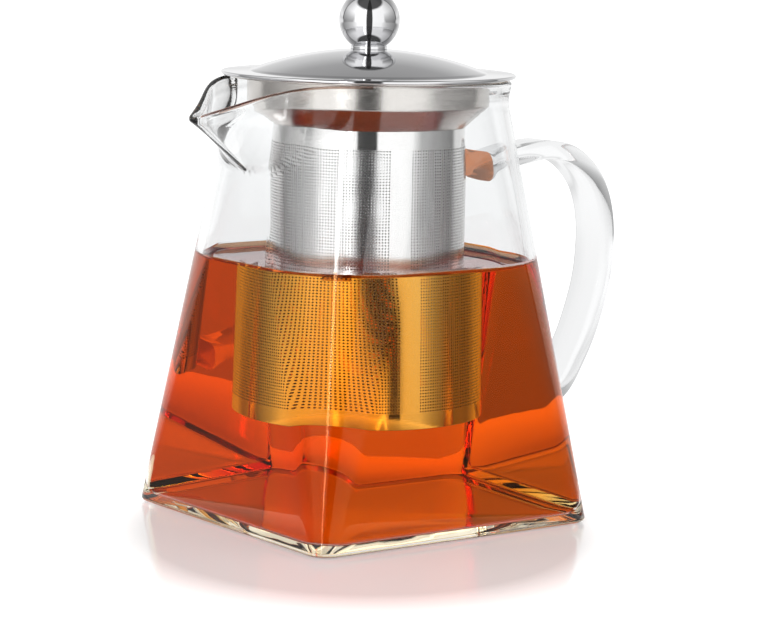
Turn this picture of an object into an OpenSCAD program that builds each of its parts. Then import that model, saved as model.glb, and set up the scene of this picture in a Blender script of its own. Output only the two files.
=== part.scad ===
// Square-to-round glass teapot with a hanging steel strainer and a domed steel lid.
// Origin: middle of the base, on the surface the pot stands on. +X points to the handle,
// -X to the spout, +Z up. Millimetres.

/* [Glass body] */
// Side of the square base
base_side = 105; // [98:1:112]
// Corner radius of the square base
base_corner_r = 6; // [4:0.5:10]
// Outside radius of the round neck
neck_r = 44; // [43.5:0.25:45]
// Height at which the body has become round
neck_z = 130; // [126:0.5:132]
// Height of the glass rim
rim_z = 137.6; // [136:0.1:139]
// Thickness of the glass wall
wall = 2.2; // [1.8:0.1:2.6]
// Thickness of the glass floor
floor_t = 2.5; // [2:0.25:4]
// Radius between floor and wall on the inside
floor_fillet_r = 3.5; // [2.5:0.5:6]

/* [Spout] */
// Distance from the axis to the tip of the spout
spout_reach = 64; // [58:0.5:68]
// Height of the tip of the spout
spout_tip_z = 127; // [124:0.5:131]
// Height at which the spout's keel leaves the body
spout_root_z = 110; // [106:0.5:114]
// Part of the rim that the spout takes, to each side of its middle, in degrees
spout_half_angle = 45; // [38:1:50]

/* [Handle] */
// Width of the glass strap
handle_w = 14.7; // [12:0.1:17]
// Thickness of the glass strap
handle_t = 6; // [5:0.1:7]
// Distance from the axis to the strap's centre line where it stands out most
handle_reach = 94.3; // [88:0.1:100]
// Height of the upper root
handle_top_z = 109; // [106:0.5:112]
// Height of the lower root
handle_low_z = 27.5; // [24:0.5:32]

/* [Tea] */
// Height of the tea's surface
tea_level = 82; // [50:0.5:100]

/* [Strainer] */
// Outside radius of the perforated tube
strainer_r = 30.5; // [28:0.1:31]
// Height of the underside of the strainer
strainer_low_z = 32; // [24:0.5:40]
// Height at which the shoulder meets the tube
strainer_top_z = 123; // [121:0.5:124]
// Outside radius of the collar's band
collar_r = 37.8; // [37:0.1:39]
// Height at which the band turns into the shoulder
band_low_z = 130; // [129:0.5:131]
// Thickness of the collar's sheet
collar_t = 0.5; // [0.4:0.05:0.6]
// Thickness of the perforated sheet
strainer_t = 0.4; // [0.3:0.05:0.5]

/* [Lid] */
// Outside radius of the lid's brim
brim_r = 46; // [45.5:0.25:48]
// Radius at which the dome meets the brim
dome_r = 36.8; // [35:0.1:38]
// Height of the dome above the brim
dome_h = 6.8; // [5:0.1:9]
// Thickness of the folded edge of the brim
hem_t = 1.2; // [1:0.1:1.6]
// Thickness of the lid's sheet
lid_t = 0.6; // [0.5:0.05:0.7]
// Depth of the skirt below the brim
skirt_h = 7; // [4:0.5:7.5]

/* [Knob] */
// Diameter of the ball
ball_d = 19; // [16:0.5:24]
// Radius of the flat on which the ball stands
ball_flat_r = 5.4; // [4.5:0.1:6.5]
// Outside radius of the neck ring
neck_ring_r = 5.7; // [5:0.1:7]
// Height of the neck ring at the top of the dome
neck_ring_h = 1; // [0.8:0.1:3]
// Diameter of the knob's screw
screw_d = 4; // [3:0.5:4.5]

/* [Hidden] */

// Gaps that keep neighbouring pieces apart
seat_gap = 0.05;
tea_gap = 0.15;
pocket_gap = 0.6;
skirt_gap = 0.8;

// Distance by which a cutting shape reaches past what it cuts
over = 1;

// Glass body
base_edge_r = 1.6;
inner_corner_r = 5;
base_half = base_side / 2;
around = 96;
wall_steps = 18;
bead_steps = 6;
spout_drop_power = 2.3;
keel_thickening = 0.45;

// Levels of the parts that are stacked on the rim
flange_t = 0.6;
dome_step = 0.4;
flange_low_z = rim_z + seat_gap;
flange_top_z = flange_low_z + flange_t;
hem_low_z = flange_top_z + seat_gap;
brim_top_z = hem_low_z + hem_t;
brim_under_z = brim_top_z - lid_t;
dome_top_z = brim_top_z + dome_step + dome_h;
dome_sphere_r = (dome_r * dome_r + dome_h * dome_h) / (2 * dome_h);
ball_r = ball_d / 2;
ball_flat_z = dome_top_z + neck_ring_h;
ball_centre_z = ball_flat_z + sqrt(ball_r * ball_r - ball_flat_r * ball_flat_r);

// Screw
screw_r = screw_d / 2;
screw_play = 0.15;
washer_r = 5;
washer_t = 0.8;
head_r = 3.7;
head_h = 2.4;
head_edge = 0.8;
slot_w = 0.8;
slot_l = 4.2;
slot_d = 1.3;
washer_gap = 0.15;
washer_top_z = dome_top_z - lid_t - washer_gap;
washer_low_z = washer_top_z - washer_t;
screw_tip_z = ball_centre_z + 1;
bore_top_z = screw_tip_z + 0.5;

// ---- Section of the glass ----

// Share of the way from the square base to the round neck
function roundness(z) = min(z, neck_z) / neck_z;

// Half-width of the outside at height z
function half_width(z) = base_half + (neck_r - base_half) * roundness(z);

// Corner radius at height z, when it is r0 at the base and r1 at the neck
function corner_radius(z, r0, r1) = r0 + (r1 - r0) * roundness(z);

// Angle between direction a and the nearest face of the square
function face_angle(a) = abs((a + 45) % 90 - 45);

// Distance from the axis to a rounded square of half-width h, in direction a
function square_reach(a, h, rc) =
    let (q = face_angle(a), m = h - rc)
    h * tan(q) <= m
        ? h / cos(q)
        : m * (cos(q) + sin(q)) + sqrt(max(0, rc * rc - pow(m * (cos(q) - sin(q)), 2)));

// Distance from the axis to the keel of the spout at height z, in by inset on the inside
function keel_reach(z, h, inset) =
    let (rise = (z - spout_root_z) / (spout_tip_z - wall / 2 - spout_root_z))
    max(h, h + (spout_reach - neck_r) * max(0, min(1, rise)) - inset * keel_thickening);

// Distance from the axis to the wall: the rounded square, with the spout's two flat cheeks
// drawn from the keel as tangents to the round part
function wall_reach(a, z, inset, r0) =
    let (
        h = half_width(z) - inset,
        rc = min(h - 0.01, corner_radius(z, r0, neck_r - inset)),
        m = h - rc,
        keel = keel_reach(z, h, inset),
        from_keel = abs(180 - a),
        tangent = acos(min(1, rc / norm([keel - m, m]))) - atan2(m, keel - m)
    )
    from_keel < tangent
        ? keel * cos(tangent) / cos(tangent - from_keel)
        : square_reach(a, h, rc);

// Height of the rim in direction a: it dips towards the tip of the spout
function rim_height(a) =
    rim_z - (rim_z - spout_tip_z)
        * pow(max(0, 1 - abs(180 - a) / spout_half_angle), spout_drop_power);

// Directions of the points of one ring, closer together at the corners
function directions() =
    [for (k = [0 : around - 1])
        let (eighth = floor(k * 8 / around), t = k * 8 / around - eighth)
        45 * (eighth % 2 == 0
            ? eighth + 1 - pow(1 - t, 2)
            : eighth + pow(t, 2))];

// A point at distance r in direction a
function polar(r, a, z) = [r * cos(a), r * sin(a), z];

// One ring of the outside or the inside, at share t of the height between low and the rim
function wall_ring(low, t, inset, r0) =
    [for (a = directions())
        let (z = low + (rim_height(a) - wall / 2 - low) * t)
        polar(wall_reach(a, z, inset, r0), a, z)];

// One ring of an edge of radius r that turns from a flat face at flat_z into the wall;
// turn is 0 on the flat face and 90 on the wall
function edge_ring(flat_z, r, turn, inset, r0) =
    [for (a = directions())
        let (z = flat_z + r * (1 - cos(turn)))
        polar(wall_reach(a, z, inset + r * (1 - sin(turn)), r0), a, z)];

// One ring of the round bead along the rim; turn is 0 on the outside and 180 on the inside
function bead_ring(turn) =
    [for (a = directions())
        let (
            z = rim_height(a) - wall / 2,
            outer = wall_reach(a, z, 0, base_corner_r),
            inner = wall_reach(a, z, wall, inner_corner_r),
            middle = (outer + inner) / 2,
            half = (outer - inner) / 2
        )
        polar(middle + half * cos(turn), a, z + wall / 2 * sin(turn))];

// Middle of a ring of points
function middle(ring) = [for (p = ring) 1] * ring / len(ring);

// A solid through a list of rings with the same number of points, closed at both ends by fans
module rings_solid(rings) {
    n = len(rings[0]);
    last = len(rings) - 1;
    points = concat([for (ring = rings, p = ring) p], [middle(rings[0]), middle(rings[last])]);
    start_hub = len(points) - 2;
    end_hub = len(points) - 1;
    faces = [for (k = [-1 : last], i = [0 : n - 1])
        let (j = (i + 1) % n)
        each k < 0 ? [[start_hub, i, j]]
            : k == last ? [[end_hub, last * n + j, last * n + i]]
            : [[k * n + i, (k + 1) * n + i, (k + 1) * n + j], [k * n + i, (k + 1) * n + j, k * n + j]]];
    polyhedron(points, faces, convexity = 6);
}

// Shares of the height of the wall's rings, closer together towards the rim
function wall_shares() = [for (k = [1 : wall_steps - 1]) 1 - pow(1 - k / wall_steps, 1.5)];

module glass_body() {
    outside = concat(
        [for (turn = [0, 30, 60, 90]) edge_ring(0, base_edge_r, turn, 0, base_corner_r)],
        [for (t = wall_shares()) wall_ring(base_edge_r, t, 0, base_corner_r)]);
    bead = [for (k = [0 : bead_steps]) bead_ring(180 * k / bead_steps)];
    shares = wall_shares();
    inside_low = floor_t + floor_fillet_r;
    inside = concat(
        [for (k = [len(shares) - 1 : -1 : 0]) wall_ring(inside_low, shares[k], wall, inner_corner_r)],
        [for (turn = [90, 67.5, 45, 22.5, 0])
            edge_ring(floor_t, floor_fillet_r, turn, wall, inner_corner_r)]);
    color([0.93, 0.95, 0.97, 0.4])
        rings_solid(concat(outside, bead, inside));
}

// ---- Handle ----

wall_lean = atan2(base_half - neck_r, neck_z);
root_sink = 1;
root_top_x = half_width(handle_top_z) - root_sink;
root_low_x = half_width(handle_low_z) - root_sink;
root_flare_w = 4.5;
root_flare_t = 3.5;
root_flare_length = 3.2;
root_edge_r = 2;
handle_steps = 6;
handle_edge_r = 2.4;

// Points that the centre line passes through, in the X-Z plane, from the upper root down
handle_route = [
    [root_top_x, handle_top_z],
    [root_top_x + 13, handle_top_z + 2.8],
    [handle_reach - 24, handle_top_z + 4],
    [handle_reach - 13.5, handle_top_z + 1],
    [handle_reach - 4.5, handle_top_z - 8],
    [handle_reach - 0.4, handle_top_z - 21],
    [handle_reach - 1, handle_top_z - 38],
    [handle_reach - 5.3, handle_top_z - 53],
    [handle_reach - 11, handle_top_z - 65],
    [handle_reach - 18.5, handle_low_z + 6],
    [handle_reach - 30, handle_low_z + 1.2],
    [root_low_x, handle_low_z]
];

// A smooth curve through the points of a route: the point at share t of the stretch after point k
function route_point(route, k, t) =
    let (
        p1 = route[k],
        p2 = route[k + 1],
        p0 = k > 0 ? route[k - 1] : 2 * p1 - p2,
        p3 = k + 2 < len(route) ? route[k + 2] : 2 * p2 - p1
    )
    0.5 * ((2 * p1) + (p2 - p0) * t + (2 * p0 - 5 * p1 + 4 * p2 - p3) * t * t
        + (3 * p1 - p0 - 3 * p2 + p3) * t * t * t);

handle_line = concat(
    [for (k = [0 : len(handle_route) - 2], j = [0 : handle_steps - 1])
        route_point(handle_route, k, j / handle_steps)],
    [handle_route[len(handle_route) - 1]]);

// Outline of the strap with rounded edges, as [across, through] points
function strap_outline(w, t, r) =
    [for (corner = [0 : 3], turn = [0 : 22.5 : 90])
        let (
            a = corner * 90 + turn,
            sx = corner == 0 || corner == 3 ? 1 : -1,
            sy = corner < 2 ? 1 : -1
        )
        [sx * (w / 2 - r) + r * cos(a), sy * (t / 2 - r) + r * sin(a)]];

// Ring of the strap at point k of the centre line; it flares into the glass at both roots
function strap_ring(k) =
    let (
        last = len(handle_line) - 1,
        p = handle_line[k],
        ahead = handle_line[min(last, k + 1)] - handle_line[max(0, k - 1)],
        lean = [sin(wall_lean), -cos(wall_lean)],
        along = k == 0 || k == last ? [-lean[1], lean[0]] * (k == 0 ? 1 : -1) : ahead / norm(ahead),
        through = [-along[1], along[0]],
        to_root = min(norm(p - handle_line[0]), norm(p - handle_line[last])),
        flare = exp(-pow(to_root / root_flare_length, 2)),
        outline = strap_outline(handle_w + root_flare_w * flare, handle_t + root_flare_t * flare,
            handle_edge_r + root_edge_r * flare)
    )
    [for (q = outline) [p[0] + q[1] * through[0], q[0], p[1] + q[1] * through[1]]];

module handle() {
    color([0.95, 0.96, 0.98, 0.5])
        rings_solid([for (k = [0 : len(handle_line) - 1]) strap_ring(k)]);
}

// ---- Tea ----

tea_low = floor_t + floor_fillet_r;

// One ring of the tea at height z, just inside the glass
function tea_ring(z) =
    [for (a = directions()) polar(wall_reach(a, z, wall + tea_gap, inner_corner_r), a, z)];

// The tea outside the strainer, with a free pocket in which the strainer hangs
module tea() {
    rings = concat(
        [for (turn = [0, 30, 60, 90])
            edge_ring(floor_t + tea_gap, floor_fillet_r, turn, wall + tea_gap, inner_corner_r)],
        [for (k = [1 : 4]) tea_ring(tea_low + tea_gap + (tea_level - tea_low - tea_gap) * k / 4)]);
    pocket_low_z = strainer_low_z - pocket_gap;
    color([0.8, 0.3, 0.05, 0.8])
        difference() {
            rings_solid(rings);
            translate([0, 0, pocket_low_z])
                cylinder(r = strainer_r + pocket_gap, h = tea_level - pocket_low_z + over, $fn = 96);
        }
}

// ---- Strainer ----

lap_h = 3.5;
flange_setback = 0.4;
band_turn = 0.8;
band_turn_h = 1.5;
flange_r = neck_r - flange_setback;
bottom_r = strainer_r - strainer_t;

// Pressed ring that hangs on the glass rim: flange, band, shoulder and the lap inside the tube
module infuser_collar() {
    band_in = collar_r - collar_t;
    lap_in = bottom_r - collar_t;
    color([0.78, 0.76, 0.74])
        rotate_extrude($fn = 128)
            polygon([
                [band_in, flange_top_z], [flange_r, flange_top_z],
                [flange_r, flange_low_z], [collar_r, flange_low_z],
                [collar_r, band_low_z], [collar_r - band_turn, band_low_z - band_turn_h],
                [strainer_r, strainer_top_z], [bottom_r, strainer_top_z],
                [bottom_r, strainer_top_z - lap_h], [lap_in, strainer_top_z - lap_h],
                [lap_in, strainer_top_z + collar_t],
                [band_in - band_turn, band_low_z - band_turn_h + collar_t / 2],
                [band_in, band_low_z]
            ]);
}

// Rolled tube of perforated sheet; its fine holes are too many for a solid and are left out
module strainer_tube() {
    color([0.8, 0.8, 0.8])
        translate([0, 0, strainer_low_z])
            difference() {
                cylinder(r = strainer_r, h = strainer_top_z - strainer_low_z, $fn = 128);
                translate([0, 0, -over])
                    cylinder(r = bottom_r, h = strainer_top_z - strainer_low_z + 2 * over, $fn = 128);
            }
}

// Disc of the same sheet, welded into the lower end of the tube
module strainer_bottom() {
    color([0.75, 0.75, 0.75])
        translate([0, 0, strainer_low_z])
            cylinder(r = bottom_r, h = strainer_t, $fn = 128);
}

// ---- Lid ----

dome_steps = 14;
hem_w = 2;
brim_edge = 0.4;
hem_edge = 0.3;
skirt_r = collar_r - collar_t - skirt_gap;
vent_r = 1.3;
vent_x = 21.5;
vent_y = -8;

// Height of the dome's outside at distance r from the axis
function dome_z(r) = dome_top_z - dome_sphere_r + sqrt(dome_sphere_r * dome_sphere_r - r * r);

// Polished cover: dome, brim and an edge folded under, with a steam vent and the screw's hole
module lid_cover() {
    hole_r = screw_r + screw_play;
    in_top = [for (k = [0 : dome_steps]) hole_r + (dome_r - hole_r) * k / dome_steps];
    out_low = [for (k = [dome_steps : -1 : 0]) in_top[k]];
    color([0.8, 0.81, 0.83])
        difference() {
            rotate_extrude($fn = 128)
                polygon(concat(
                    [for (r = in_top) [r, dome_z(r)]],
                    [[dome_r + dome_step, brim_top_z], [brim_r - brim_edge, brim_top_z],
                        [brim_r, brim_top_z - brim_edge], [brim_r, hem_low_z + hem_edge],
                        [brim_r - hem_edge, hem_low_z], [brim_r - hem_w, hem_low_z],
                        [brim_r - hem_w, brim_under_z], [dome_r + dome_step / 2, brim_under_z]],
                    [for (r = out_low) [r, dome_z(r) - lid_t]]));
            translate([vent_x, vent_y, brim_top_z - over])
                cylinder(r = vent_r, h = dome_h + 2 * over, $fn = 32);
        }
}

// Ring welded under the brim; its skirt centres the lid in the collar
module lid_skirt() {
    ring_r = brim_r - hem_w - 2 * seat_gap;
    ring_t = brim_under_z - hem_low_z;
    color([0.7, 0.7, 0.72])
        translate([0, 0, hem_low_z])
            difference() {
                union() {
                    cylinder(r = ring_r, h = ring_t, $fn = 128);
                    translate([0, 0, -skirt_h])
                        cylinder(r = skirt_r, h = skirt_h + ring_t / 2, $fn = 128);
                }
                translate([0, 0, -skirt_h - over])
                    cylinder(r = skirt_r - lid_t, h = skirt_h + ring_t + 2 * over, $fn = 128);
            }
}

// ---- Knob ----

module knob_ball() {
    color([0.85, 0.86, 0.88])
        difference() {
            translate([0, 0, ball_centre_z])
                sphere(r = ball_r, $fn = 96);
            translate([0, 0, ball_flat_z - ball_d])
                cylinder(r = ball_d, h = ball_d, $fn = 96);
            translate([0, 0, ball_flat_z - over])
                cylinder(r = screw_r, h = bore_top_z - ball_flat_z + over, $fn = 48);
        }
}

// Ferrule between dome and ball; its underside follows the dome
module knob_neck() {
    color([0.75, 0.76, 0.78])
        difference() {
            translate([0, 0, dome_z(neck_ring_r)])
                cylinder(r = neck_ring_r, h = ball_flat_z - dome_z(neck_ring_r), $fn = 96);
            translate([0, 0, dome_top_z - dome_sphere_r])
                sphere(r = dome_sphere_r, $fn = 256);
            translate([0, 0, dome_top_z - over])
                cylinder(r = screw_r + screw_play, h = neck_ring_h + 2 * over, $fn = 48);
        }
}

module screw_washer() {
    color([0.7, 0.7, 0.72])
        translate([0, 0, washer_low_z])
            difference() {
                cylinder(r = washer_r, h = washer_t, $fn = 64);
                translate([0, 0, -over])
                    cylinder(r = screw_r + screw_play, h = washer_t + 2 * over, $fn = 48);
            }
}

// Pan-head screw with a cross slot, driven from inside the lid
module knob_screw() {
    head_low_z = washer_low_z - head_h;
    color([0.68, 0.68, 0.7])
        difference() {
            union() {
                translate([0, 0, head_low_z + head_edge])
                    cylinder(r = head_r, h = head_h - head_edge, $fn = 64);
                translate([0, 0, head_low_z])
                    cylinder(r1 = head_r - head_edge, r2 = head_r, h = head_edge, $fn = 64);
                translate([0, 0, washer_low_z - head_edge])
                    cylinder(r = screw_r, h = screw_tip_z - washer_low_z + head_edge, $fn = 48);
            }
            for (turn = [0, 90])
                rotate([0, 0, turn])
                    translate([-slot_l / 2, -slot_w / 2, head_low_z - over])
                        cube([slot_l, slot_w, slot_d + over]);
        }
}

glass_body();
handle();
tea();
infuser_collar();
strainer_tube();
strainer_bottom();
lid_cover();
lid_skirt();
knob_ball();
knob_neck();
knob_screw();
screw_washer();
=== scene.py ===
"""Glass teapot: looks of the pot, its tea, the hanging strainer and the steel lid."""
import math

import bmesh
import bpy
import numpy as np
from mathutils import Matrix, Vector


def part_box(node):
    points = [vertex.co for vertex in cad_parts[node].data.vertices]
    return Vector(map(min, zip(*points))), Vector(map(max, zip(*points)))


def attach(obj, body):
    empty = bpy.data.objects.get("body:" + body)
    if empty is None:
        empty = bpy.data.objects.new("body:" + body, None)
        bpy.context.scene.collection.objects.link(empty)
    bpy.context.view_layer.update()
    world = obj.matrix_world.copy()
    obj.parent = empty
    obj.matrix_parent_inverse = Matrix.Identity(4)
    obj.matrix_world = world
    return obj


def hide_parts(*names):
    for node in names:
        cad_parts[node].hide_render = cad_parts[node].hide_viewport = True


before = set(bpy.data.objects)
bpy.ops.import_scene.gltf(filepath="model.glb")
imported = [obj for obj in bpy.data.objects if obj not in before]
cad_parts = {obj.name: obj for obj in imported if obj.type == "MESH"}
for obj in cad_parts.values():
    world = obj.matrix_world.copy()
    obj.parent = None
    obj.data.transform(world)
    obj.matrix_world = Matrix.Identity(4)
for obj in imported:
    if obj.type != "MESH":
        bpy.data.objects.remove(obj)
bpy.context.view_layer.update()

MM = 0.001


# ---- Sizes, in millimetres, from the frame ----

def box_mm(node):
    """Lowest and highest corner of a CAD node, in millimetres."""
    low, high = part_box(node)
    return np.array(low) / MM, np.array(high) / MM


glass_low, glass_high = box_mm("glass_body")
collar_high = box_mm("infuser_collar")[1]
tube_low, tube_high = box_mm("strainer_tube")
cover_low, cover_high = box_mm("lid_cover")
ball_low, ball_high = box_mm("knob_ball")
neck_low, neck_high = box_mm("knob_neck")
tea_high = box_mm("tea")[1]

WALL = 2.2
BASE_EDGE = 1.6
BASE_CORNER = 6.0
INNER_CORNER = 5.0
NECK_Z = 130.0
FLOOR_T = 2.5
FLOOR_FILLET = 3.5
RIM_Z = glass_high[2]
NECK_OVER_COLLAR = 0.4
NECK_R = collar_high[0] + NECK_OVER_COLLAR
LEAN = (glass_high[1] - NECK_R) / (NECK_Z - BASE_EDGE)
BASE_HALF = glass_high[1] + LEAN * BASE_EDGE

SPOUT_REACH = -glass_low[0]
SPOUT_ROOT_Z = 110.0
SPOUT_TIP_Z = 127.0
SPOUT_HALF_ANGLE = 45.0
SPOUT_POWER = 2.3
KEEL_R = 4.0
KEEL_THICKENING = 0.15
KEEL_INNER_R = 0.8
CHEEK_BULGE = 1.7
CHEEK_THINNING = 0.55
BEAD_OUT = 0.7
BEAD_H = 2.6


# ---- Meshes ----

def mesh_object(name, verts_mm, faces, sharp_angle=30.0):
    """A smooth-shaded object from points in millimetres, with its normals pointing out."""
    mesh = bpy.data.meshes.new(name)
    mesh.from_pydata((np.asarray(verts_mm, float) * MM).tolist(), [], faces)
    bm = bmesh.new()
    bm.from_mesh(mesh)
    bmesh.ops.recalc_face_normals(bm, faces=bm.faces)
    if bm.calc_volume(signed=True) < 0:
        bmesh.ops.reverse_faces(bm, faces=bm.faces)
    bm.to_mesh(mesh)
    bm.free()
    mesh.polygons.foreach_set("use_smooth", [True] * len(mesh.polygons))
    mesh.set_sharp_from_angle(angle=math.radians(sharp_angle))
    piece = bpy.data.objects.new(name, mesh)
    bpy.context.scene.collection.objects.link(piece)
    return piece


def ring_faces(rings, count, closed=False):
    """Quads between rings of count points; closed joins the last ring to the first."""
    faces = []
    for k in range(rings if closed else rings - 1):
        a, b = k * count, (k + 1) % rings * count
        for i in range(count):
            j = (i + 1) % count
            faces.append((a + i, a + j, b + j, b + i))
    return faces


def rings_object(name, rings, sharp_angle=30.0):
    """A solid through rings of points, closed with a fan at both ends."""
    rings = np.asarray(rings, float)
    count, size = rings.shape[:2]
    verts = np.concatenate([rings.reshape(-1, 3), rings[[0, -1]].mean(axis=1)])
    first, last = len(verts) - 2, len(verts) - 1
    faces = ring_faces(count, size)
    faces += [(first, (i + 1) % size, i) for i in range(size)]
    end = (count - 1) * size
    faces += [(last, end + i, end + (i + 1) % size) for i in range(size)]
    return mesh_object(name, verts, faces, sharp_angle)


def lathe(name, profile, steps=192, closed=True, sharp_angle=30.0):
    """Turns a list of (radius, height) round Z. An open profile starts and ends on the axis."""
    turns = np.linspace(0, 2 * math.pi, steps, endpoint=False)
    ends = [] if closed else [profile[0], profile[-1]]
    body = profile if closed else profile[1:-1]
    verts = [(r * math.cos(a), r * math.sin(a), z) for r, z in body for a in turns]
    faces = ring_faces(len(body), steps, closed)
    if not closed:
        first, last = len(verts), len(verts) + 1
        verts += [(0, 0, z) for r, z in ends]
        faces += [(first, (i + 1) % steps, i) for i in range(steps)]
        end = (len(body) - 1) * steps
        faces += [(last, end + i, end + (i + 1) % steps) for i in range(steps)]
    return mesh_object(name, verts, faces, sharp_angle)


def rounded(corners, steps=5):
    """An outline in which each (x, y, radius) corner is replaced by an arc."""
    points = []
    for k, (x, y, radius) in enumerate(corners):
        here = np.array([x, y], float)
        if radius <= 0:
            points.append(tuple(here))
            continue
        before = np.array(corners[k - 1][:2], float) - here
        after = np.array(corners[(k + 1) % len(corners)][:2], float) - here
        before_length, after_length = np.linalg.norm(before), np.linalg.norm(after)
        before, after = before / before_length, after / after_length
        half = math.acos(max(-1.0, min(1.0, before @ after))) / 2
        back = min(radius / math.tan(half), before_length * 0.49, after_length * 0.49)
        radius = back * math.tan(half)
        centre = here + (before + after) / np.linalg.norm(before + after) * radius / math.sin(half)
        start, end = here + before * back - centre, here + after * back - centre
        a0, a1 = math.atan2(start[1], start[0]), math.atan2(end[1], end[0])
        turn = (a1 - a0 + math.pi) % (2 * math.pi) - math.pi
        for i in range(steps + 1):
            a = a0 + turn * i / steps
            points.append((centre[0] + radius * math.cos(a), centre[1] + radius * math.sin(a)))
    return points


# ---- The glass wall's shape ----

def half_width(z):
    """Half the width between two opposite walls at height z."""
    return BASE_HALF - LEAN * np.minimum(z, NECK_Z)


def wall_reach(a, z, inset, corner):
    """Distance from the axis to the glass in direction a (degrees) at height z, moved in by inset.

    The spout goes from a round nose on the keel, by two bowed cheeks, to the round part.
    """
    h = half_width(z) - inset
    share = np.minimum(z, NECK_Z) / NECK_Z
    rc = np.minimum(h - 0.01, corner + (NECK_R - inset - corner) * share)
    m = h - rc
    q = np.radians(np.abs((a + 45) % 90 - 45))
    bend = np.sqrt(np.maximum(0, rc ** 2 - (m * (np.cos(q) - np.sin(q))) ** 2))
    square = np.where(h * np.tan(q) <= m, h / np.cos(q), m * (np.cos(q) + np.sin(q)) + bend)
    rise = np.clip((z - SPOUT_ROOT_Z) / (SPOUT_TIP_Z - WALL / 2 - SPOUT_ROOT_Z), 0, 1)
    keel = np.maximum(h, h + (SPOUT_REACH - NECK_R) * rise - inset * KEEL_THICKENING)
    tip_r = max(KEEL_R - inset, KEEL_INNER_R)
    tip = keel - tip_r
    away = np.radians(np.abs(180 - a))
    lean = np.arccos(np.minimum(1, (rc - tip_r) / np.hypot(tip - m, m))) - np.arctan2(m, tip - m)
    cheek = (tip * np.cos(lean) + tip_r) / np.cos(np.minimum(lean - away, 1.5))
    nose = tip * np.cos(away) + np.sqrt(np.maximum(0, tip_r ** 2 - (tip * np.sin(away)) ** 2))
    cheek_from = np.arctan2(tip_r * np.sin(lean), tip + tip_r * np.cos(lean))
    cheek_to = np.arctan2(m + rc * np.sin(lean), m + rc * np.cos(lean))
    along = np.clip((away - cheek_from) / np.maximum(cheek_to - cheek_from, 0.01), 0, 1)
    bow = np.sin(math.pi * along) ** 2
    cheek = cheek + rise * bow * (CHEEK_BULGE + CHEEK_THINNING * inset)
    return np.where(away < cheek_from, nose, np.where(away < cheek_to, cheek, square))


def rim_height(a):
    """Height of the rim in direction a (degrees); it dips at the spout."""
    away = np.sqrt((180 - a) ** 2 + 1.0) - 0.6
    dip = np.maximum(0, 1 - away / SPOUT_HALF_ANGLE) ** SPOUT_POWER
    return RIM_Z - (RIM_Z - SPOUT_TIP_Z) * dip


def directions(per_eighth=34):
    """Directions round the pot, closer together at the corners and at the spout's keel."""
    t = np.arange(per_eighth) / per_eighth
    eighths = []
    for e in range(8):
        eighths.append(45 * (e + 1 - (1 - t) ** 1.7) if e % 2 == 0 else 45 * (e + t ** 1.7))
    keel = 180 + np.array([-5.5, -4.4, -3.5, -2.7, -2.0, -1.4, -0.9, -0.4,
                           0.4, 0.9, 1.4, 2.0, 2.7, 3.5, 4.4, 5.5])
    every = np.concatenate(eighths)
    every = every[(np.abs(every - 180) > 5.9) | (np.abs(every - 180) < 0.1)]
    return np.sort(np.concatenate([every, keel]))


ROUND = directions()


def polar_ring(reach, z):
    """Points at a distance from the axis in every direction, at height z."""
    a = np.radians(ROUND)
    return np.stack([reach * np.cos(a), reach * np.sin(a), np.broadcast_to(z, ROUND.shape)], axis=1)


def wall_ring(low, t, inset, corner):
    """Ring of the wall at share t of the way from low to the rim; the outside swells to a bead."""
    rim = rim_height(ROUND) - WALL / 2
    z = low + (rim - low) * t
    swell = 0 if inset else BEAD_OUT * np.exp(-((rim - z) / BEAD_H) ** 2)
    return polar_ring(wall_reach(ROUND, z, inset, corner) + swell, z)


def edge_ring(flat_z, r, turn, inset, corner):
    """Ring of the rounded edge, of radius r, between a flat at flat_z and the wall."""
    z = flat_z + r * (1 - math.cos(turn))
    zs = np.full(ROUND.shape, z)
    return polar_ring(wall_reach(ROUND, zs, inset + r * (1 - math.sin(turn)), corner), z)


def bead_ring(turn):
    """Ring of the rim's rounded bead, from outside at turn 0 to inside at turn pi."""
    z = rim_height(ROUND) - WALL / 2
    outer = wall_reach(ROUND, z, 0, BASE_CORNER) + BEAD_OUT
    inner = wall_reach(ROUND, z, WALL, INNER_CORNER)
    half = (outer - inner) / 2
    return polar_ring((outer + inner) / 2 + half * math.cos(turn), z + WALL / 2 * math.sin(turn))


def make_glass_body():
    """Outside from the base to the bead, then inside from the bead to the floor."""
    shares = 1 - (1 - np.arange(1, 64) / 64) ** 1.4
    quarter = np.linspace(0, math.pi / 2, 8)
    rings = [edge_ring(0, BASE_EDGE, turn, 0, BASE_CORNER) for turn in quarter]
    rings += [wall_ring(BASE_EDGE, t, 0, BASE_CORNER) for t in shares]
    rings += [bead_ring(turn) for turn in np.linspace(0, math.pi, 13)]
    low = FLOOR_T + FLOOR_FILLET
    rings += [wall_ring(low, t, WALL, INNER_CORNER) for t in shares[::-1]]
    fillet = np.linspace(math.pi / 2, 0, 12)
    rings += [edge_ring(FLOOR_T, FLOOR_FILLET, turn, WALL, INNER_CORNER) for turn in fillet]
    return rings_object("glass_pot", rings, 50)


LIP_TURNS = (184, 236)
LIP_H = 0.75


def lip_faces(pot, lip):
    """Gives the bead of the spout's near lip, where the tea's colour shows, its own material:
    a dark brown tint, painted shade that stands in for the tea seen through the bead.
    """
    pot.data.materials.append(lip)
    for face in pot.data.polygons:
        x, y, z = np.array(face.center) / MM
        turn = math.degrees(math.atan2(y, x)) % 360
        if LIP_TURNS[0] < turn < LIP_TURNS[1] and z > float(rim_height(turn)) - LIP_H:
            face.material_index = 3


TEA_BITE = 0.15
TEA_DROP = 1.7
TEA_LEVEL = tea_high[2] - TEA_DROP
MENISCUS_H = 1.8
MENISCUS_R = 1.5
MENISCUS_STEPS = (0.15, 0.35, 0.7, 1.2, 1.8, 2.6, 3.6, 5.0, 8.0)
STEEP_RISE = 0.25


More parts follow.
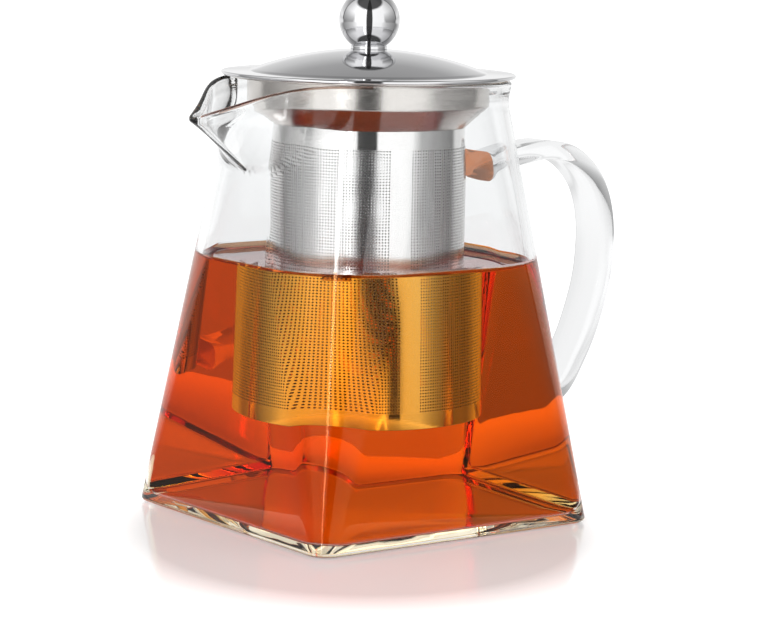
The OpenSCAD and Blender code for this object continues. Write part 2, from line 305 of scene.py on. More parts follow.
def wet_faces(pot, wet, over_tea_painted_warm_gloss):
    """Gives the inside faces that the tea touches, and the outside over them, their materials;
    the outside over the tea has a painted orange tint in its reflections.
    """
    pot.data.materials.append(wet)
    pot.data.materials.append(over_tea_painted_warm_gloss)
    line = (TEA_LEVEL + MENISCUS_H) * MM
    for face in pot.data.polygons:
        x, y, z = face.center
        outward = face.normal.x * x + face.normal.y * y > 0
        floor = face.normal.z > 0.5 and z < 2 * FLOOR_T * MM
        if z < line and z > FLOOR_T * 0.9 * MM and (floor or not outward):
            face.material_index = 1
        elif outward and 2 * FLOOR_T * MM < z < line:
            face.material_index = 2


# ---- Handle ----

HANDLE_W = 14.7
HANDLE_T = 6.0
HANDLE_EDGE = 1.6
ROOT_GAP = 0.03
ROOT_FLARE_W = 4.5
ROOT_FLARE_T = 3.5
ROOT_FLARE_LENGTH = 3.2
HANDLE_TOP_Z = 109.0
HANDLE_LOW_Z = 27.5
HANDLE_REACH = 94.3
HANDLE_STEPS = 14
ROOT_EDGE = 2.0
ROOTS_PART_Z = 80.0


def handle_route():
    """Points of the strap's centre line in the X-Z plane, from the upper root to the lower."""
    top, low, out = HANDLE_TOP_Z, HANDLE_LOW_Z, HANDLE_REACH
    root_top = float(half_width(top)) + ROOT_GAP
    root_low = float(half_width(low)) + ROOT_GAP
    return np.array([
        (root_top, top), (root_top + 13, top + 2.8), (out - 24, top + 4), (out - 13.5, top + 1),
        (out - 4.5, top - 8), (out - 0.4, top - 21), (out - 1, top - 38), (out - 5.3, top - 53),
        (out - 11, top - 65), (out - 18.5, low + 6), (out - 30, low + 1.2), (root_low, low)])


def smooth_route(route, steps):
    """Points of a smooth curve that passes through every point of the route."""
    ends = [2 * route[0] - route[1], *route, 2 * route[-1] - route[-2]]
    line = []
    for p0, p1, p2, p3 in zip(ends, ends[1:], ends[2:], ends[3:]):
        for t in np.arange(steps) / steps:
            line.append(0.5 * (2 * p1 + (p2 - p0) * t + (2 * p0 - 5 * p1 + 4 * p2 - p3) * t ** 2
                               + (3 * p1 - p0 - 3 * p2 + p3) * t ** 3))
    return np.array(line + [route[-1]])


def strap_outline(w, t, r, steps=8):
    """A w by t rectangle with edges rounded by r."""
    points = []
    for corner, (sx, sy) in enumerate([(1, 1), (-1, 1), (-1, -1), (1, -1)]):
        for turn in np.linspace(0, math.pi / 2, steps):
            a = corner * math.pi / 2 + turn
            points.append((sx * (w / 2 - r) + r * math.cos(a), sy * (t / 2 - r) + r * math.sin(a)))
    return points


def wall_x(y, z):
    """Place of the outside of the handle's side of the wall at a given y and z."""
    turn = math.degrees(math.atan2(y, half_width(z)))
    reach = float(wall_reach(np.array(turn % 360), np.array(float(z)), 0, BASE_CORNER))
    return math.sqrt(reach ** 2 - y ** 2)


def make_handle():
    """The strap, with a flare at both roots that stops ROOT_GAP short of the wall."""
    line = smooth_route(handle_route(), HANDLE_STEPS)
    lean = math.atan(LEAN)
    rings = []
    for k, p in enumerate(line):
        ahead = line[min(len(line) - 1, k + 1)] - line[max(0, k - 1)]
        along = ahead / np.linalg.norm(ahead)
        if k in (0, len(line) - 1):
            along = np.array([math.cos(lean), math.sin(lean)]) * (1 if k == 0 else -1)
        through = np.array([-along[1], along[0]])
        to_root = min(np.linalg.norm(p - line[0]), np.linalg.norm(p - line[-1]))
        flare = math.exp(-(to_root / ROOT_FLARE_LENGTH) ** 2)
        outline = strap_outline(HANDLE_W + ROOT_FLARE_W * flare, HANDLE_T + ROOT_FLARE_T * flare,
                                HANDLE_EDGE + ROOT_EDGE * flare)
        ring = [(p[0] + q * through[0], y, p[1] + q * through[1]) for y, q in outline]
        if k in (0, len(line) - 1):
            ring = [(wall_x(y, z) + ROOT_GAP, y, z) for x, y, z in ring]
        rings.append(ring)
    return rings_object("glass_handle", rings, 50)


def root_materials(handle, top_root_painted_tea_light, low_root_painted_glow):
    """Gives the two faces that meet the pot, where the tea's colour shows, their materials:
    painted tea light, deep orange at the top root and golden and frosted at the low root.
    """
    handle.data.materials.append(top_root_painted_tea_light)
    handle.data.materials.append(low_root_painted_glow)
    for face in handle.data.polygons:
        x, y, z = np.array(face.center) / MM
        if face.normal.x < -0.8 and x < half_width(z) + 4 * ROOT_GAP:
            face.material_index = 1 if z > ROOTS_PART_Z else 2


# ---- Tea ----

def make_tea():
    """All the tea, inside and outside the strainer, with its edge drawn up along the glass."""
    inset = WALL - TEA_BITE
    floor = FLOOR_T - TEA_BITE
    rings = [edge_ring(floor, FLOOR_FILLET, turn, inset, INNER_CORNER)
             for turn in np.linspace(0, math.pi / 2, 12)]
    low = floor + FLOOR_FILLET
    top = TEA_LEVEL + MENISCUS_H
    for z in np.linspace(low, top, 40)[1:]:
        zs = np.full(ROUND.shape, z)
        rings.append(polar_ring(wall_reach(ROUND, zs, inset, INNER_CORNER), z))
    for d in MENISCUS_STEPS:
        z = TEA_LEVEL + MENISCUS_H * math.exp(-d / MENISCUS_R)
        zs = np.full(ROUND.shape, z)
        rings.append(polar_ring(wall_reach(ROUND, zs, inset + d, INNER_CORNER), z))
    return rings_object("tea_fill", rings, 50)


def tea_top(fill, surface, edge):
    """The free surface bends light, and its steep edge gets a dark tint, which is painted shade
    along the meniscus; the faces against the glass do not bend it, for the glass does.
    """
    fill.data.materials.append(surface)
    fill.data.materials.append(edge)
    for face in fill.data.polygons:
        if face.center.z > TEA_LEVEL * MM * 0.99 and face.normal.z > 0.2:
            # Steep meniscus faces get the dark tint, a painted shade.
            steep = face.center.z > (TEA_LEVEL + STEEP_RISE) * MM
            face.material_index = 2 if steep else 1


# ---- Strainer ----

SHEET = 0.4
HOLE_R = 0.28
HOLE_PITCH = 0.925
HOLE_SIDES = 6
SEAM_W = 6.5
SEAM_TURN = math.radians(-105.8)
PLAIN_TOP = 5.2
PLAIN_LOW = 5.0
COLLAR_T = 0.5
LAP_H = 3.5
FLANGE_T = 0.6
BAND_R = 37.8
BAND_LOW_Z = 130.0
SEAM_STEPS = 6
TUBE_R = tube_high[0]
TUBE_IN = TUBE_R - SHEET


def perforated_band(name, columns, rows, low_z, turn_pitch, start_turn):
    """A closed band of sheet with a grid of holes; the last column is the plain seam strip."""
    height = (HOLE_R * np.sin(np.arange(HOLE_SIDES) * 2 * math.pi / HOLE_SIDES))
    across = (HOLE_R * np.cos(np.arange(HOLE_SIDES) * 2 * math.pi / HOLE_SIDES)) / TUBE_R
    turns = start_turn + np.arange(columns + 1) * turn_pitch
    levels = low_z + np.arange(rows + 1) * HOLE_PITCH
    verts, faces = [], []
    grid = {}
    for side, radius in enumerate((TUBE_R, TUBE_IN)):
        for j, z in enumerate(levels):
            for i, a in enumerate(turns):
                grid[side, i, j] = len(verts)
                verts.append((radius * math.cos(a), radius * math.sin(a), z))
    for j in range(rows):
        for i in range(columns):
            a0 = turns[i] + turn_pitch / 2
            z0 = levels[j] + HOLE_PITCH / 2
            holes = []
            for side, radius in enumerate((TUBE_R, TUBE_IN)):
                start = len(verts)
                holes.append(start)
                verts += [(radius * math.cos(a0 + u), radius * math.sin(a0 + u), z0 + v)
                          for u, v in zip(across, height)]
                corners = [grid[side, i + 1, j], grid[side, i + 1, j + 1],
                           grid[side, i, j + 1], grid[side, i, j]]
                right, top_r, top_l, low_l = corners
                ring = [start + n for n in range(HOLE_SIDES)]
                faces += [
                    (right, top_r, ring[1], ring[0]), (top_r, top_l, ring[2], ring[1]),
                    (top_l, ring[3], ring[2]), (top_l, low_l, ring[4], ring[3]),
                    (low_l, right, ring[5], ring[4]), (right, ring[0], ring[5])]
            outer, inner = holes
            for n in range(HOLE_SIDES):
                m = (n + 1) % HOLE_SIDES
                faces.append((outer + n, outer + m, inner + m, inner + n))
    seam_turns = np.linspace(turns[-1], turns[0] + 2 * math.pi, SEAM_STEPS + 1)
    column_of = {}
    for side, radius in enumerate((TUBE_R, TUBE_IN)):
        for j, z in enumerate(levels):
            for s in range(SEAM_STEPS + 1):
                if s == 0:
                    column_of[side, s, j] = grid[side, columns, j]
                elif s == SEAM_STEPS:
                    column_of[side, s, j] = grid[side, 0, j]
                else:
                    column_of[side, s, j] = len(verts)
                    a = seam_turns[s]
                    verts.append((radius * math.cos(a), radius * math.sin(a), z))
            for s in range(SEAM_STEPS):
                if j:
                    faces.append((column_of[side, s, j - 1], column_of[side, s + 1, j - 1],
                                  column_of[side, s + 1, j], column_of[side, s, j]))
    for j in (0, rows):
        for i in range(columns):
            faces.append((grid[0, i, j], grid[0, i + 1, j], grid[1, i + 1, j], grid[1, i, j]))
        for s in range(SEAM_STEPS):
            faces.append((column_of[0, s, j], column_of[0, s + 1, j],
                          column_of[1, s + 1, j], column_of[1, s, j]))
    return mesh_object(name, verts, faces, 30)


def make_tube():
    """The rolled tube: a plain ring below and above, and two perforated bands between them."""
    low, high = tube_low[2], tube_high[2]
    columns = int((2 * math.pi * TUBE_R - SEAM_W) / HOLE_PITCH)
    seam_turn = SEAM_W / TUBE_R
    turn_pitch = (2 * math.pi - seam_turn) / columns
    rows = int((high - low - PLAIN_TOP - PLAIN_LOW) / HOLE_PITCH)
    start = SEAM_TURN + seam_turn / 2
    first_z = low + PLAIN_LOW
    last_z = first_z + rows * HOLE_PITCH
    bands = []
    done = 0
    for k, name in enumerate(("sieve_lower", "sieve_middle", "sieve_upper")):
        count = (rows - done) // (3 - k)
        band_z = first_z + done * HOLE_PITCH
        bands.append(perforated_band(name, columns, count, band_z, turn_pitch, start))
        done += count
    rings = [lathe("sieve_foot", rounded([(TUBE_IN, low, 0.15), (TUBE_R, low, 0.15),
                                          (TUBE_R, first_z, 0), (TUBE_IN, first_z, 0)]), 240),
             lathe("sieve_neck", [(TUBE_IN, last_z), (TUBE_R, last_z),
                                  (TUBE_R, high), (TUBE_IN, high)], 240)]
    return bands + rings


def inner_faces(part, material):
    """Gives the faces that look towards the axis a duller material of their own: rougher steel,
    and darker in colour as painted shade inside the tube.
    """
    part.data.materials.append(material)
    for face in part.data.polygons:
        x, y, z = face.center
        if face.normal.x * x + face.normal.y * y < 0:
            face.material_index = 1


def make_collar():
    """Flange, band, shoulder and the lap inside the tube, pressed from one sheet."""
    top, flange_r = collar_high[2], collar_high[0]
    band_r, low_z = BAND_R, BAND_LOW_Z
    profile = rounded([
        (band_r - COLLAR_T, top, 1.2), (flange_r, top, 0.25), (flange_r, top - FLANGE_T, 0.25),
        (band_r, top - FLANGE_T, 0.6), (band_r, low_z, 1.4), (TUBE_R, tube_high[2], 0.5),
        (TUBE_IN, tube_high[2], 0), (TUBE_IN, tube_high[2] - LAP_H, 0.1),
        (TUBE_IN - COLLAR_T, tube_high[2] - LAP_H, 0.1), (TUBE_IN - COLLAR_T, tube_high[2] + 0.4, 0.5),
        (band_r - COLLAR_T, low_z + 0.5, 1.2)], 6)
    return lathe("collar", profile, 240)


# ---- Lid ----

LID_T = 0.6
DOME_R = 36.8
DOME_H = 6.8
BRIM_RISE = 0.4
HEM_W = 2.0
VENT_R = 1.3
VENT_X, VENT_Y = 21.5, -8.0
HEM_H = 1.2
BRIM_TOP = cover_low[2] + HEM_H
SCREW_HOLE_R = 2.15
BALL_R = 9.5
DOME_SPHERE = (DOME_R ** 2 + DOME_H ** 2) / (2 * DOME_H)
DOME_PEAK = BRIM_TOP + BRIM_RISE + DOME_H


def dome_z(r):
    """Height of the outside of the dome at radius r."""
    return DOME_PEAK - DOME_SPHERE + math.sqrt(DOME_SPHERE ** 2 - r * r)


def drill(piece, x, y, low, high, radius):
    """Cuts a vertical round hole through a piece."""
    turns = np.linspace(0, 2 * math.pi, 48, endpoint=False)
    rings = [[(x + radius * math.cos(a), y + radius * math.sin(a), z) for a in turns]
             for z in (low, high)]
    bit = rings_object("bit", rings)
    cut = piece.modifiers.new("cut", "BOOLEAN")
    cut.operation = "DIFFERENCE"
    cut.object = bit
    depsgraph = bpy.context.evaluated_depsgraph_get()
    cut_mesh = bpy.data.meshes.new_from_object(piece.evaluated_get(depsgraph))
    piece.modifiers.remove(cut)
    piece.data = cut_mesh
    cut_mesh.set_sharp_from_angle(angle=math.radians(30))
    bpy.data.objects.remove(bit)


def make_cover():
    """Dome, brim and folded edge from one sheet, with the vent hole drilled through."""
    hem_low = cover_low[2]
    edge_r = cover_high[0]
    under = BRIM_TOP - LID_T
    radii = np.linspace(SCREW_HOLE_R, DOME_R, 60)
    dome = [(r, dome_z(r)) for r in radii]
    brim = rounded([
        (DOME_R + 0.01, BRIM_TOP + BRIM_RISE, 0), (DOME_R + 0.5, BRIM_TOP + 0.02, 0.3),
        (edge_r, BRIM_TOP - 0.05, 0.55), (edge_r, hem_low, 0.5), (edge_r - HEM_W, hem_low, 0.2),
        (edge_r - HEM_W, under, 0), (DOME_R + 0.3, under, 0.3)], 6)[1:]
    inside = [(r, dome_z(r) - LID_T) for r in radii[::-1]]
    cover = lathe("cover", dome + brim + inside, 256)
    drill(cover, VENT_X, VENT_Y, BRIM_TOP - 1, BRIM_TOP + DOME_H + 1, VENT_R)
    return cover


def make_ball():
    """The ball, cut flat where it stands on the neck."""
    flat_z, top = ball_low[2], ball_high[2]
    centre = top - BALL_R
    start = math.asin((flat_z - centre) / BALL_R)
    arc = [(BALL_R * math.cos(t), centre + BALL_R * math.sin(t))
           for t in np.linspace(start, math.pi / 2, 90)[:-1]]
    return lathe("ball", [(0, flat_z)] + arc + [(0, top)], 192, closed=False)


def make_neck():
    """The ferrule between the dome and the ball, with the screw's hole through it."""
    radius, high = neck_high[0], neck_high[2]
    low = neck_low[2]
    foot = dome_z(SCREW_HOLE_R) + 0.02
    profile = rounded([(SCREW_HOLE_R, foot, 0), (SCREW_HOLE_R, high, 0), (radius, high, 0.3),
                       (radius, low, 0.15)], 5)
    return lathe("neck", profile, 160)


# ---- Materials ----

class Nodes:
    """Short names for building a material's nodes."""

    def __init__(self, name):
        self.material = bpy.data.materials.new(name)
        self.material.use_nodes = True
        self.tree = self.material.node_tree
        self.shader = self.tree.nodes["Principled BSDF"]

    def add(self, kind, **inputs):
        node = self.tree.nodes.new(kind)
        for key, value in inputs.items():
            name = key.replace("_", " ")
            if name in node.inputs:
                node.inputs[name].default_value = value
            else:
                setattr(node, key, value)
        return node

    def link(self, source, target):
        self.tree.links.new(source, target)

    def math(self, operation, a, b=None, c=None):
        node = self.add("ShaderNodeMath", operation=operation)
        for slot, value in zip(node.inputs, (a, b, c)):
            if value is None:
                continue
            if isinstance(value, (int, float)):
                slot.default_value = value
            else:
                self.link(value, slot)
        return node.outputs[0]

    def position(self):
        return self.add("ShaderNodeTexCoord").outputs["Object"]

    def noise(self, vector, scale, detail=3.0, roughness=0.5):
        node = self.add("ShaderNodeTexNoise", Scale=scale, Detail=detail, Roughness=roughness)
        self.link(vector, node.inputs["Vector"])
        return node.outputs["Fac"]

    def ramp(self, value, low, high, out_low, out_high):
        node = self.add("ShaderNodeMapRange")
        for key, number in (("From Min", low), ("From Max", high),
                            ("To Min", out_low), ("To Max", out_high)):
            node.inputs[key].default_value = number
        self.link(value, node.inputs["Value"])
        return node.outputs["Result"]

    def colours(self, value, low, high):
        node = self.add("ShaderNodeMix", data_type="RGBA")
        self.link(value, node.inputs["Factor"])
        node.inputs[6].default_value = (*low, 1)
        node.inputs[7].default_value = (*high, 1)
        return node.outputs[2]

    def bump(self, height, strength, distance):
        node = self.add("ShaderNodeBump", Strength=strength, Distance=distance)
        self.link(height, node.inputs["Height"])
        self.link(node.outputs["Normal"], self.shader.inputs["Normal"])

    def set(self, **inputs):
        for key, value in inputs.items():
            self.shader.inputs[key.replace("_", " ")].default_value = value

    def around(self, vector, turns_scale, height_scale):
        """Coordinates along the brushing of a turned part: slow round the axis, fast up it."""
        parts = self.add("ShaderNodeSeparateXYZ")
        self.link(vector, parts.inputs[0])
        turn = self.math("ARCTAN2", parts.outputs[1], parts.outputs[0])
        radius = self.math("SQRT", self.math("ADD", self.math("POWER", parts.outputs[0], 2.0),
                                             self.math("POWER", parts.outputs[1], 2.0)))
        joined = self.add("ShaderNodeCombineXYZ")
        self.link(self.math("MULTIPLY", turn, turns_scale), joined.inputs[0])
        self.link(self.math("MULTIPLY", parts.outputs[2], height_scale), joined.inputs[1])
        self.link(self.math("MULTIPLY", radius, height_scale), joined.inputs[2])
        return joined.outputs[0]


GLASS_IOR = 1.47
TEA_IOR = 1.333
STRAP_IOR = 1.15
CLEAR = (0.985, 0.992, 0.995)
WHITE = (1, 1, 1)


def glass_material(name, wave, ior=GLASS_IOR, colour=CLEAR, gloss=WHITE, frost=0.0):
    """Glass with faint waves in its surface, and a tint and frost where they are asked for."""
    n = Nodes(name)
    n.set(Base_Color=(*colour, 1), Roughness=frost, IOR=ior, Transmission_Weight=1.0)
    n.set(Specular_Tint=(*gloss, 1))
    n.bump(n.noise(n.position(), 38.0, 2.0), wave, 0.0006)
    return n.material


def tea_material(name, ior, tint=WHITE):
    """Amber liquid that soaks up light along its depth."""
    n = Nodes(name)
    n.set(Base_Color=(*tint, 1), Roughness=0.0, IOR=ior, Transmission_Weight=1.0)
    n.set(Specular_Tint=(*tint, 1))
    n.bump(n.noise(n.position(), 26.0, 2.0), 0.05, 0.0004)
    soak = n.add("ShaderNodeVolumeAbsorption", Color=(0.955, 0.69, 0.06, 1), Density=80.0)
    n.link(soak.outputs[0], n.tree.nodes["Material Output"].inputs["Volume"])
    return n.material


def mirror_material():
    """Polished steel with a little haze and the finest turning lines."""
    n = Nodes("mirror_polish")
    place = n.position()
    haze = n.noise(place, 55.0, 4.0)
    lines = n.noise(n.around(place, 5.0, 2600.0), 1.0, 3.0)
    n.set(Metallic=1.0)
    n.link(n.colours(haze, (0.66, 0.66, 0.67), (0.72, 0.72, 0.73)), n.shader.inputs["Base Color"])
    n.link(n.ramp(haze, 0.3, 0.7, 0.035, 0.06), n.shader.inputs["Roughness"])
    n.bump(lines, 0.035, 0.0001)
    return n.material


def brushed_material(name, dark, light, rough_low, rough_high, turn_scale, height_scale, depth):
    """Steel with brushing lines that run round the axis."""
    n = Nodes(name)
    place = n.position()
    lines = n.noise(n.around(place, turn_scale, height_scale), 1.0, 5.0, 0.6)
    cloud = n.noise(place, 60.0, 3.0)
    n.set(Metallic=1.0)
    n.link(n.colours(lines, dark, light), n.shader.inputs["Base Color"])
    both = n.math("ADD", n.math("MULTIPLY", lines, 0.7), n.math("MULTIPLY", cloud, 0.3))
    n.link(n.ramp(both, 0.3, 0.7, rough_low, rough_high), n.shader.inputs["Roughness"])
    n.bump(lines, depth, 0.0001)
    return n.material


def dress(piece, body, material, slot, *nodes):
    """Gives a piece its material and body, and the CAD nodes that it stands for; the slot is not used.
    """
    piece.data.materials.clear()
    piece.data.materials.append(material)
    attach(piece, body)
    if nodes:
        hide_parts(*nodes)


# ---- Camera ----

EYE_DISTANCE = 0.9088
EYE_HEIGHT = 0.1928
EYE_YAW = 0.6249
EYE_PITCH = 0.1435
EYE_PAN = 0.0069
EYE_ROLL = 0.0189
EYE_LENS = 136.35
SENSOR_W = 36.0


def make_camera():
    """The camera at the view's angle: yaw round the pot, then a small pan, pitch and roll."""
    away = Vector((math.sin(EYE_YAW), math.cos(EYE_YAW), 0))
    right = Vector((math.cos(EYE_YAW), -math.sin(EYE_YAW), 0))
    up = Vector((0, 0, 1))
    eye = -away * EYE_DISTANCE + up * EYE_HEIGHT
    ahead = right * math.sin(EYE_PAN) + away * math.cos(EYE_PAN)
    side = right * math.cos(EYE_PAN) - away * math.sin(EYE_PAN)
    look = ahead * math.cos(EYE_PITCH) - up * math.sin(EYE_PITCH)
    top = ahead * math.sin(EYE_PITCH) + up * math.cos(EYE_PITCH)
    x_axis = side * math.cos(EYE_ROLL) + top * math.sin(EYE_ROLL)
    y_axis = top * math.cos(EYE_ROLL) - side * math.sin(EYE_ROLL)
    data = bpy.data.cameras.new("camera")
    data.lens = EYE_LENS
    data.sensor_width = SENSOR_W
    data.clip_start = 0.01
    data.clip_end = 100
    camera = bpy.data.objects.new("camera", data)
    turn = Matrix((x_axis, y_axis, -look)).transposed().to_4x4()
    camera.matrix_world = Matrix.Translation(eye) @ turn
    bpy.context.scene.collection.objects.link(camera)
    bpy.context.scene.camera = camera


# ---- Studio ----

# Brightness of the sky round the object, as (place, brightness) stops. Places across run from
# 0, behind the camera, to 1, facing it; places up run from 0, straight down, to 1, straight up.
# The lamp is on one side only, so its places run round the whole sky, with 0.5 behind the camera.

def across(degrees):
    """Place across the sky at an angle from straight behind the camera."""
    return degrees / 180


def up(degrees):
    """Place up the sky at an elevation."""
    return (degrees + 90) / 180


STRIPE = [(across(0), 0.03), (across(10.5), 0.03)]
FRONT_LOW = STRIPE + [(across(12.5), 0.97), (across(46), 0.97), (across(58), 0.72), (across(72), 0.5),
                      (across(90), 0.36), (across(108), 0.26), (across(119), 0.2),
                      (across(135), 0.4), (across(150), 0.66), (across(180), 0.68)]
FRONT_LOW_UP = [(up(-90), 0.7), (up(-50), 0.7), (up(-30), 1.0), (up(-8), 1.0), (up(-5), 0.0)]
NEAR_BOX = STRIPE + [(across(12.5), 1.0), (across(54), 1.0), (across(66), 0.36), (across(90), 0.28),
                     (across(114), 0.14), (across(122), 0.7), (across(180), 0.74)]
NEAR_BOX_UP = [(up(-8), 0.0), (up(-5), 1.0), (up(-2), 1.0), (up(2), 0.0)]
HIGH_BOX = STRIPE + [(across(12.5), 1.0), (across(55), 1.0), (across(61), 0.0)]
HIGH_BOX_UP = [(up(-2), 0.0), (up(2), 1.0), (up(90), 1.0)]
SIDE_BOX = [(across(55), 0.0), (across(61), 1.0), (across(90), 0.7), (across(115), 0.5),
            (across(118), 0.05), (across(120), 0.05), (across(122), 0.0)]
SIDE_BOX_UP = [(up(-2), 0.0), (up(2), 0.45), (up(10), 0.6), (up(26), 1.0), (up(90), 1.0)]
LAMP = [(0.5 + turn / 360, bright) for turn, bright in ((-21.5, 0), (-21, 1), (-18.5, 1), (-18, 0))]
LAMP_UP = [(up(-30), 0.0), (up(-25), 0.12), (up(4), 0.12), (up(8), 1.0), (up(34), 1.0), (up(40), 0.0)]
LAMP_LIGHT = 13.0
LEFT_BIAS = 0.1
BOX_TOP_UP = [(up(35), 1.0), (up(42), 0.06)]
BACKDROP = [(across(120), 0.0), (across(122), 1.0), (across(180), 1.0)]
BACKDROP_UP = [(up(-2), 0.0), (up(2), 0.8), (up(5), 0.98), (up(9), 0.98), (up(13), 0.78),
               (up(22), 0.66), (up(32), 0.44), (up(46), 0.36), (up(65), 0.25), (up(90), 0.2)]
BOX_TILT = 0.17
BOX_LIGHT = 1.4
BACK_LIGHT = 1.0
GAP_LIGHT = 0.03
SEEN_LIGHT = 1.3


def make_world():
    """A studio of soft boxes in front, a lamp and a backdrop; the camera itself sees plain white."""
    world = bpy.data.worlds.new("studio")
    world.use_nodes = True
    tree = world.node_tree
    nodes, links = tree.nodes, tree.links
    background = nodes["Background"]

    def value(operation, a, b=None):
        """The result of one sum on values or numbers."""
        node = nodes.new("ShaderNodeMath")
        node.operation = operation
        for slot, item in zip(node.inputs, (a, b)):
            if item is None:
                continue
            if isinstance(item, (int, float)):
                slot.default_value = item
            else:
                links.new(item, slot)
        return node.outputs[0]

    def curve(source, stops):
        """A brightness that follows the stops."""
        node = nodes.new("ShaderNodeValToRGB")
        ramp = node.color_ramp
        ramp.interpolation = "LINEAR"
        while len(ramp.elements) < len(stops):
            ramp.elements.new(0.5)
        for element, (place, bright) in zip(ramp.elements, stops):
            element.position = place
            element.color = (bright, bright, bright, 1)
        links.new(source, node.inputs[0])
        return node.outputs[0]

    coord = nodes.new("ShaderNodeTexCoord")
    parts = nodes.new("ShaderNodeSeparateXYZ")
    links.new(coord.outputs["Generated"], parts.inputs[0])
    x, y, z = parts.outputs
    front = value("SUBTRACT", value("MULTIPLY", x, -math.sin(EYE_YAW)),
                  value("MULTIPLY", y, math.cos(EYE_YAW)))
    side = value("SUBTRACT", value("MULTIPLY", x, math.cos(EYE_YAW)),
                 value("MULTIPLY", y, math.sin(EYE_YAW)))
    signed = value("DIVIDE", value("ARCTAN2", side, front), math.pi)
    turn = value("ABSOLUTE", signed)
    height = value("ADD", value("DIVIDE", value("ARCSINE", z), math.pi), 0.5)
    tilted = value("SUBTRACT", height, value("MULTIPLY", turn, BOX_TILT))
    box_up = value("MULTIPLY", curve(height, HIGH_BOX_UP), curve(tilted, BOX_TOP_UP))
    side_up = value("MULTIPLY", curve(height, SIDE_BOX_UP), curve(tilted, BOX_TOP_UP))
    light = GAP_LIGHT
    for wide, high, strength in ((FRONT_LOW, curve(height, FRONT_LOW_UP), BOX_LIGHT),
                                 (NEAR_BOX, curve(height, NEAR_BOX_UP), BOX_LIGHT),
                                 (HIGH_BOX, box_up, BOX_LIGHT),
                                 (SIDE_BOX, side_up, BOX_LIGHT),
                                 (BACKDROP, curve(height, BACKDROP_UP), BACK_LIGHT)):
        panel = value("MULTIPLY", curve(turn, wide), high)
        light = value("ADD", light, value("MULTIPLY", panel, strength))
    around = value("ADD", value("MULTIPLY", signed, 0.5), 0.5)
    lamp = value("MULTIPLY", curve(around, LAMP), curve(height, LAMP_UP))
    light = value("ADD", light, value("MULTIPLY", lamp, LAMP_LIGHT))
    light = value("MULTIPLY", light, value("SUBTRACT", 1.0, value("MULTIPLY", side, LEFT_BIAS)))
    seen = nodes.new("ShaderNodeLightPath")
    plain = value("MULTIPLY", seen.outputs["Is Camera Ray"], SEEN_LIGHT)
    lit = value("MULTIPLY", value("SUBTRACT", 1.0, seen.outputs["Is Camera Ray"]), light)
    links.new(value("ADD", plain, lit), background.inputs["Strength"])
    background.inputs["Color"].default_value = (1, 1, 1, 1)
    bpy.context.scene.world = world


TABLE_LONG = 0.125
TABLE_WIDE = 0.098
TABLE_FORWARD = 0.028
# Painted light: the floor's glow is dim near the pot, a painted shade round its base, and rises to
# white at the edge.
GLOW_FROM, GLOW_TO = 0.68, 0.95
PAINTED_SHADE_GLOW, GLOW_HIGH = 0.28, 1.0


def make_floor():
    """An oval glossy white table top that glows though it is no lamp: dim under the pot, as painted
    shade, and more so towards its edge.
    """
    n = Nodes("pale_floor_painted_glow")
    n.set(Base_Color=(0.9, 0.9, 0.9, 1), Roughness=0.12, IOR=1.9)
    cloud = n.noise(n.position(), 1.5, 2.0)
    n.link(n.ramp(cloud, 0.3, 0.7, 0.11, 0.14), n.shader.inputs["Roughness"])
    parts = n.add("ShaderNodeSeparateXYZ")
    n.link(n.position(), parts.inputs[0])
    away = n.math("SQRT", n.math("ADD", n.math("POWER", parts.outputs[0], 2.0),
                                 n.math("POWER", parts.outputs[1], 2.0)))
    # Painted glow: emission that stands in for light on the floor, weakest next to the pot as painted
    # shade.
    n.set(Emission_Color=(1, 0.97, 0.96, 1))
    n.link(n.ramp(away, GLOW_FROM, GLOW_TO, PAINTED_SHADE_GLOW, GLOW_HIGH), n.shader.inputs["Emission Strength"])
    edge = [(math.cos(t), math.sin(t), 0.0) for t in np.linspace(0, 2 * math.pi, 96, endpoint=False)]
    mesh = bpy.data.meshes.new("floor")
    mesh.from_pydata(edge, [], [tuple(range(len(edge)))])
    mesh.materials.append(n.material)
    floor = bpy.data.objects.new("floor", mesh)
    floor.scale = (TABLE_WIDE, TABLE_LONG, 1)
    floor.rotation_euler.z = -EYE_YAW
    forward = Vector((-math.sin(EYE_YAW), -math.cos(EYE_YAW), 0))
    floor.location = forward * TABLE_FORWARD - Vector((0, 0, 0.0002))
    bpy.context.scene.collection.objects.link(floor)


# ---- The scene ----

make_camera()
make_world()
make_floor()

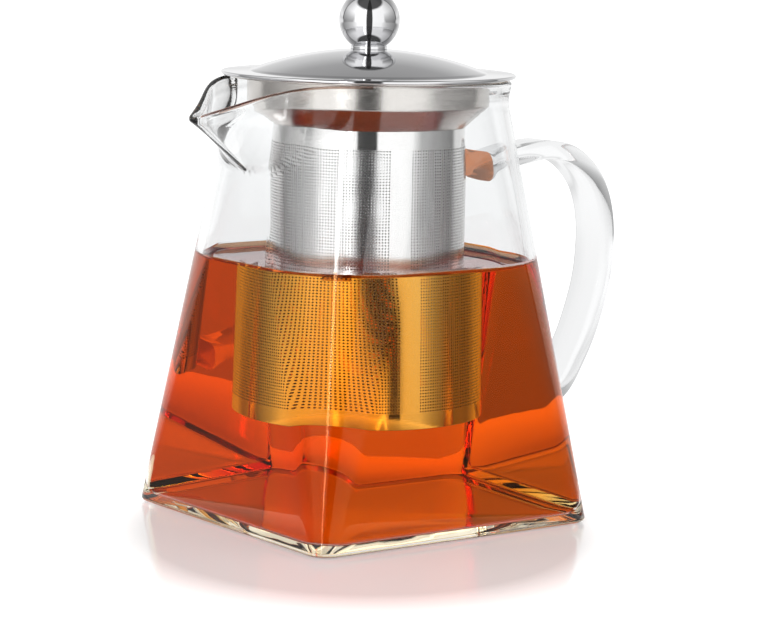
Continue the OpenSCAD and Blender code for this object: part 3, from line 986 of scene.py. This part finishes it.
clear = glass_material("clear_glass_wall", 0.06)
# Painted reflection: the glass over the tea tints its reflections and highlights orange.
over_tea_painted_warm_gloss = glass_material("glass_over_tea_painted_warm_gloss", 0.06, gloss=(1.0, 0.5, 0.2))
# Painted shade: the near lip is tinted dark brown where the tea shows through it.
lip = glass_material("glass_lip_painted_tea_shade", 0.10, GLASS_IOR, (0.32, 0.19, 0.14))
# Painted shade: the strap glass is tinted grey to give it soft shading.
strap = glass_material("glass_strap_painted_grey_shade", 0.16, STRAP_IOR, (0.925, 0.93, 0.935))
# Painted light: the roots are tinted golden and deep orange to stand in for tea light carried along
# the strap.
low_root_painted_glow = glass_material("strap_low_root_painted_glow", 0.16, STRAP_IOR, (0.9, 0.5, 0.12), frost=0.5)
top_root_painted_tea_light = glass_material("strap_top_root_painted_tea_light", 0.16, STRAP_IOR, (0.40, 0.06, 0.012))
wet = glass_material("wet_glass_wall", 0.05, GLASS_IOR / TEA_IOR)
tea = tea_material("tea_liquor", 1.0)
tea_surface = tea_material("tea_surface", TEA_IOR)
# Painted shade: a dark brown tint on the meniscus edge.
tea_edge_painted_shade = tea_material("tea_edge_painted_shade", TEA_IOR, (0.25, 0.10, 0.05))
mirror = mirror_material()
band_steel = brushed_material("brushed_band", (0.56, 0.53, 0.50), (0.74, 0.71, 0.68), 0.14, 0.26,
                              14.0, 2600.0, 0.25)
sieve_steel = brushed_material("sieve_sheet", (0.74, 0.73, 0.72), (0.86, 0.85, 0.84), 0.12, 0.20,
                               400.0, 900.0, 0.08)
foot_steel = brushed_material("plain_sheet", (0.72, 0.71, 0.70), (0.80, 0.79, 0.78), 0.04, 0.09,
                              12.0, 2200.0, 0.06)
# Rougher steel with a darker colour, which is painted shade inside the tube.
inside_steel_painted_shade = brushed_material("sieve_inside_painted_shade", (0.34, 0.33, 0.33), (0.44, 0.43, 0.42), 0.3, 0.45,
                                60.0, 900.0, 0.1)
inner_steel = brushed_material("inner_sheet", (0.60, 0.60, 0.60), (0.74, 0.74, 0.74), 0.25, 0.4,
                               30.0, 1800.0, 0.2)
screw_steel = brushed_material("screw_steel", (0.52, 0.52, 0.53), (0.68, 0.68, 0.69), 0.25, 0.4,
                               8.0, 4000.0, 0.2)

pot = make_glass_body()
dress(pot, "pot", clear, "clear_glass", "glass_body")
wet_faces(pot, wet, over_tea_painted_warm_gloss)
lip_faces(pot, lip)
handle = make_handle()
dress(handle, "pot", strap, "clear_glass", "handle")
root_materials(handle, top_root_painted_tea_light, low_root_painted_glow)
fill = make_tea()
dress(fill, "pot", tea, "tea", "tea")
tea_top(fill, tea_surface, tea_edge_painted_shade)
dress(make_collar(), "infuser", band_steel, "collar_steel", "infuser_collar")
for part in make_tube():
    plain = part.name in ("sieve_foot", "sieve_neck")
    dress(part, "infuser", foot_steel if plain else sieve_steel, "sieve_steel", "strainer_tube")
    inner_faces(part, inside_steel_painted_shade)
dress(make_cover(), "lid", mirror, "mirror_steel", "lid_cover")
dress(make_ball(), "lid", mirror, "mirror_steel", "knob_ball")
dress(make_neck(), "lid", mirror, "mirror_steel", "knob_neck")

for node, material in (("strainer_bottom", sieve_steel), ("lid_skirt", inner_steel),
                       ("knob_screw", screw_steel), ("screw_washer", screw_steel)):
    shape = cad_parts[node]
    for slot in shape.material_slots:
        slot.material = material

scene = bpy.context.scene
scene.view_settings.view_transform = "Standard"
scene.cycles.max_bounces = 24
scene.cycles.transmission_bounces = 24
scene.cycles.glossy_bounces = 12
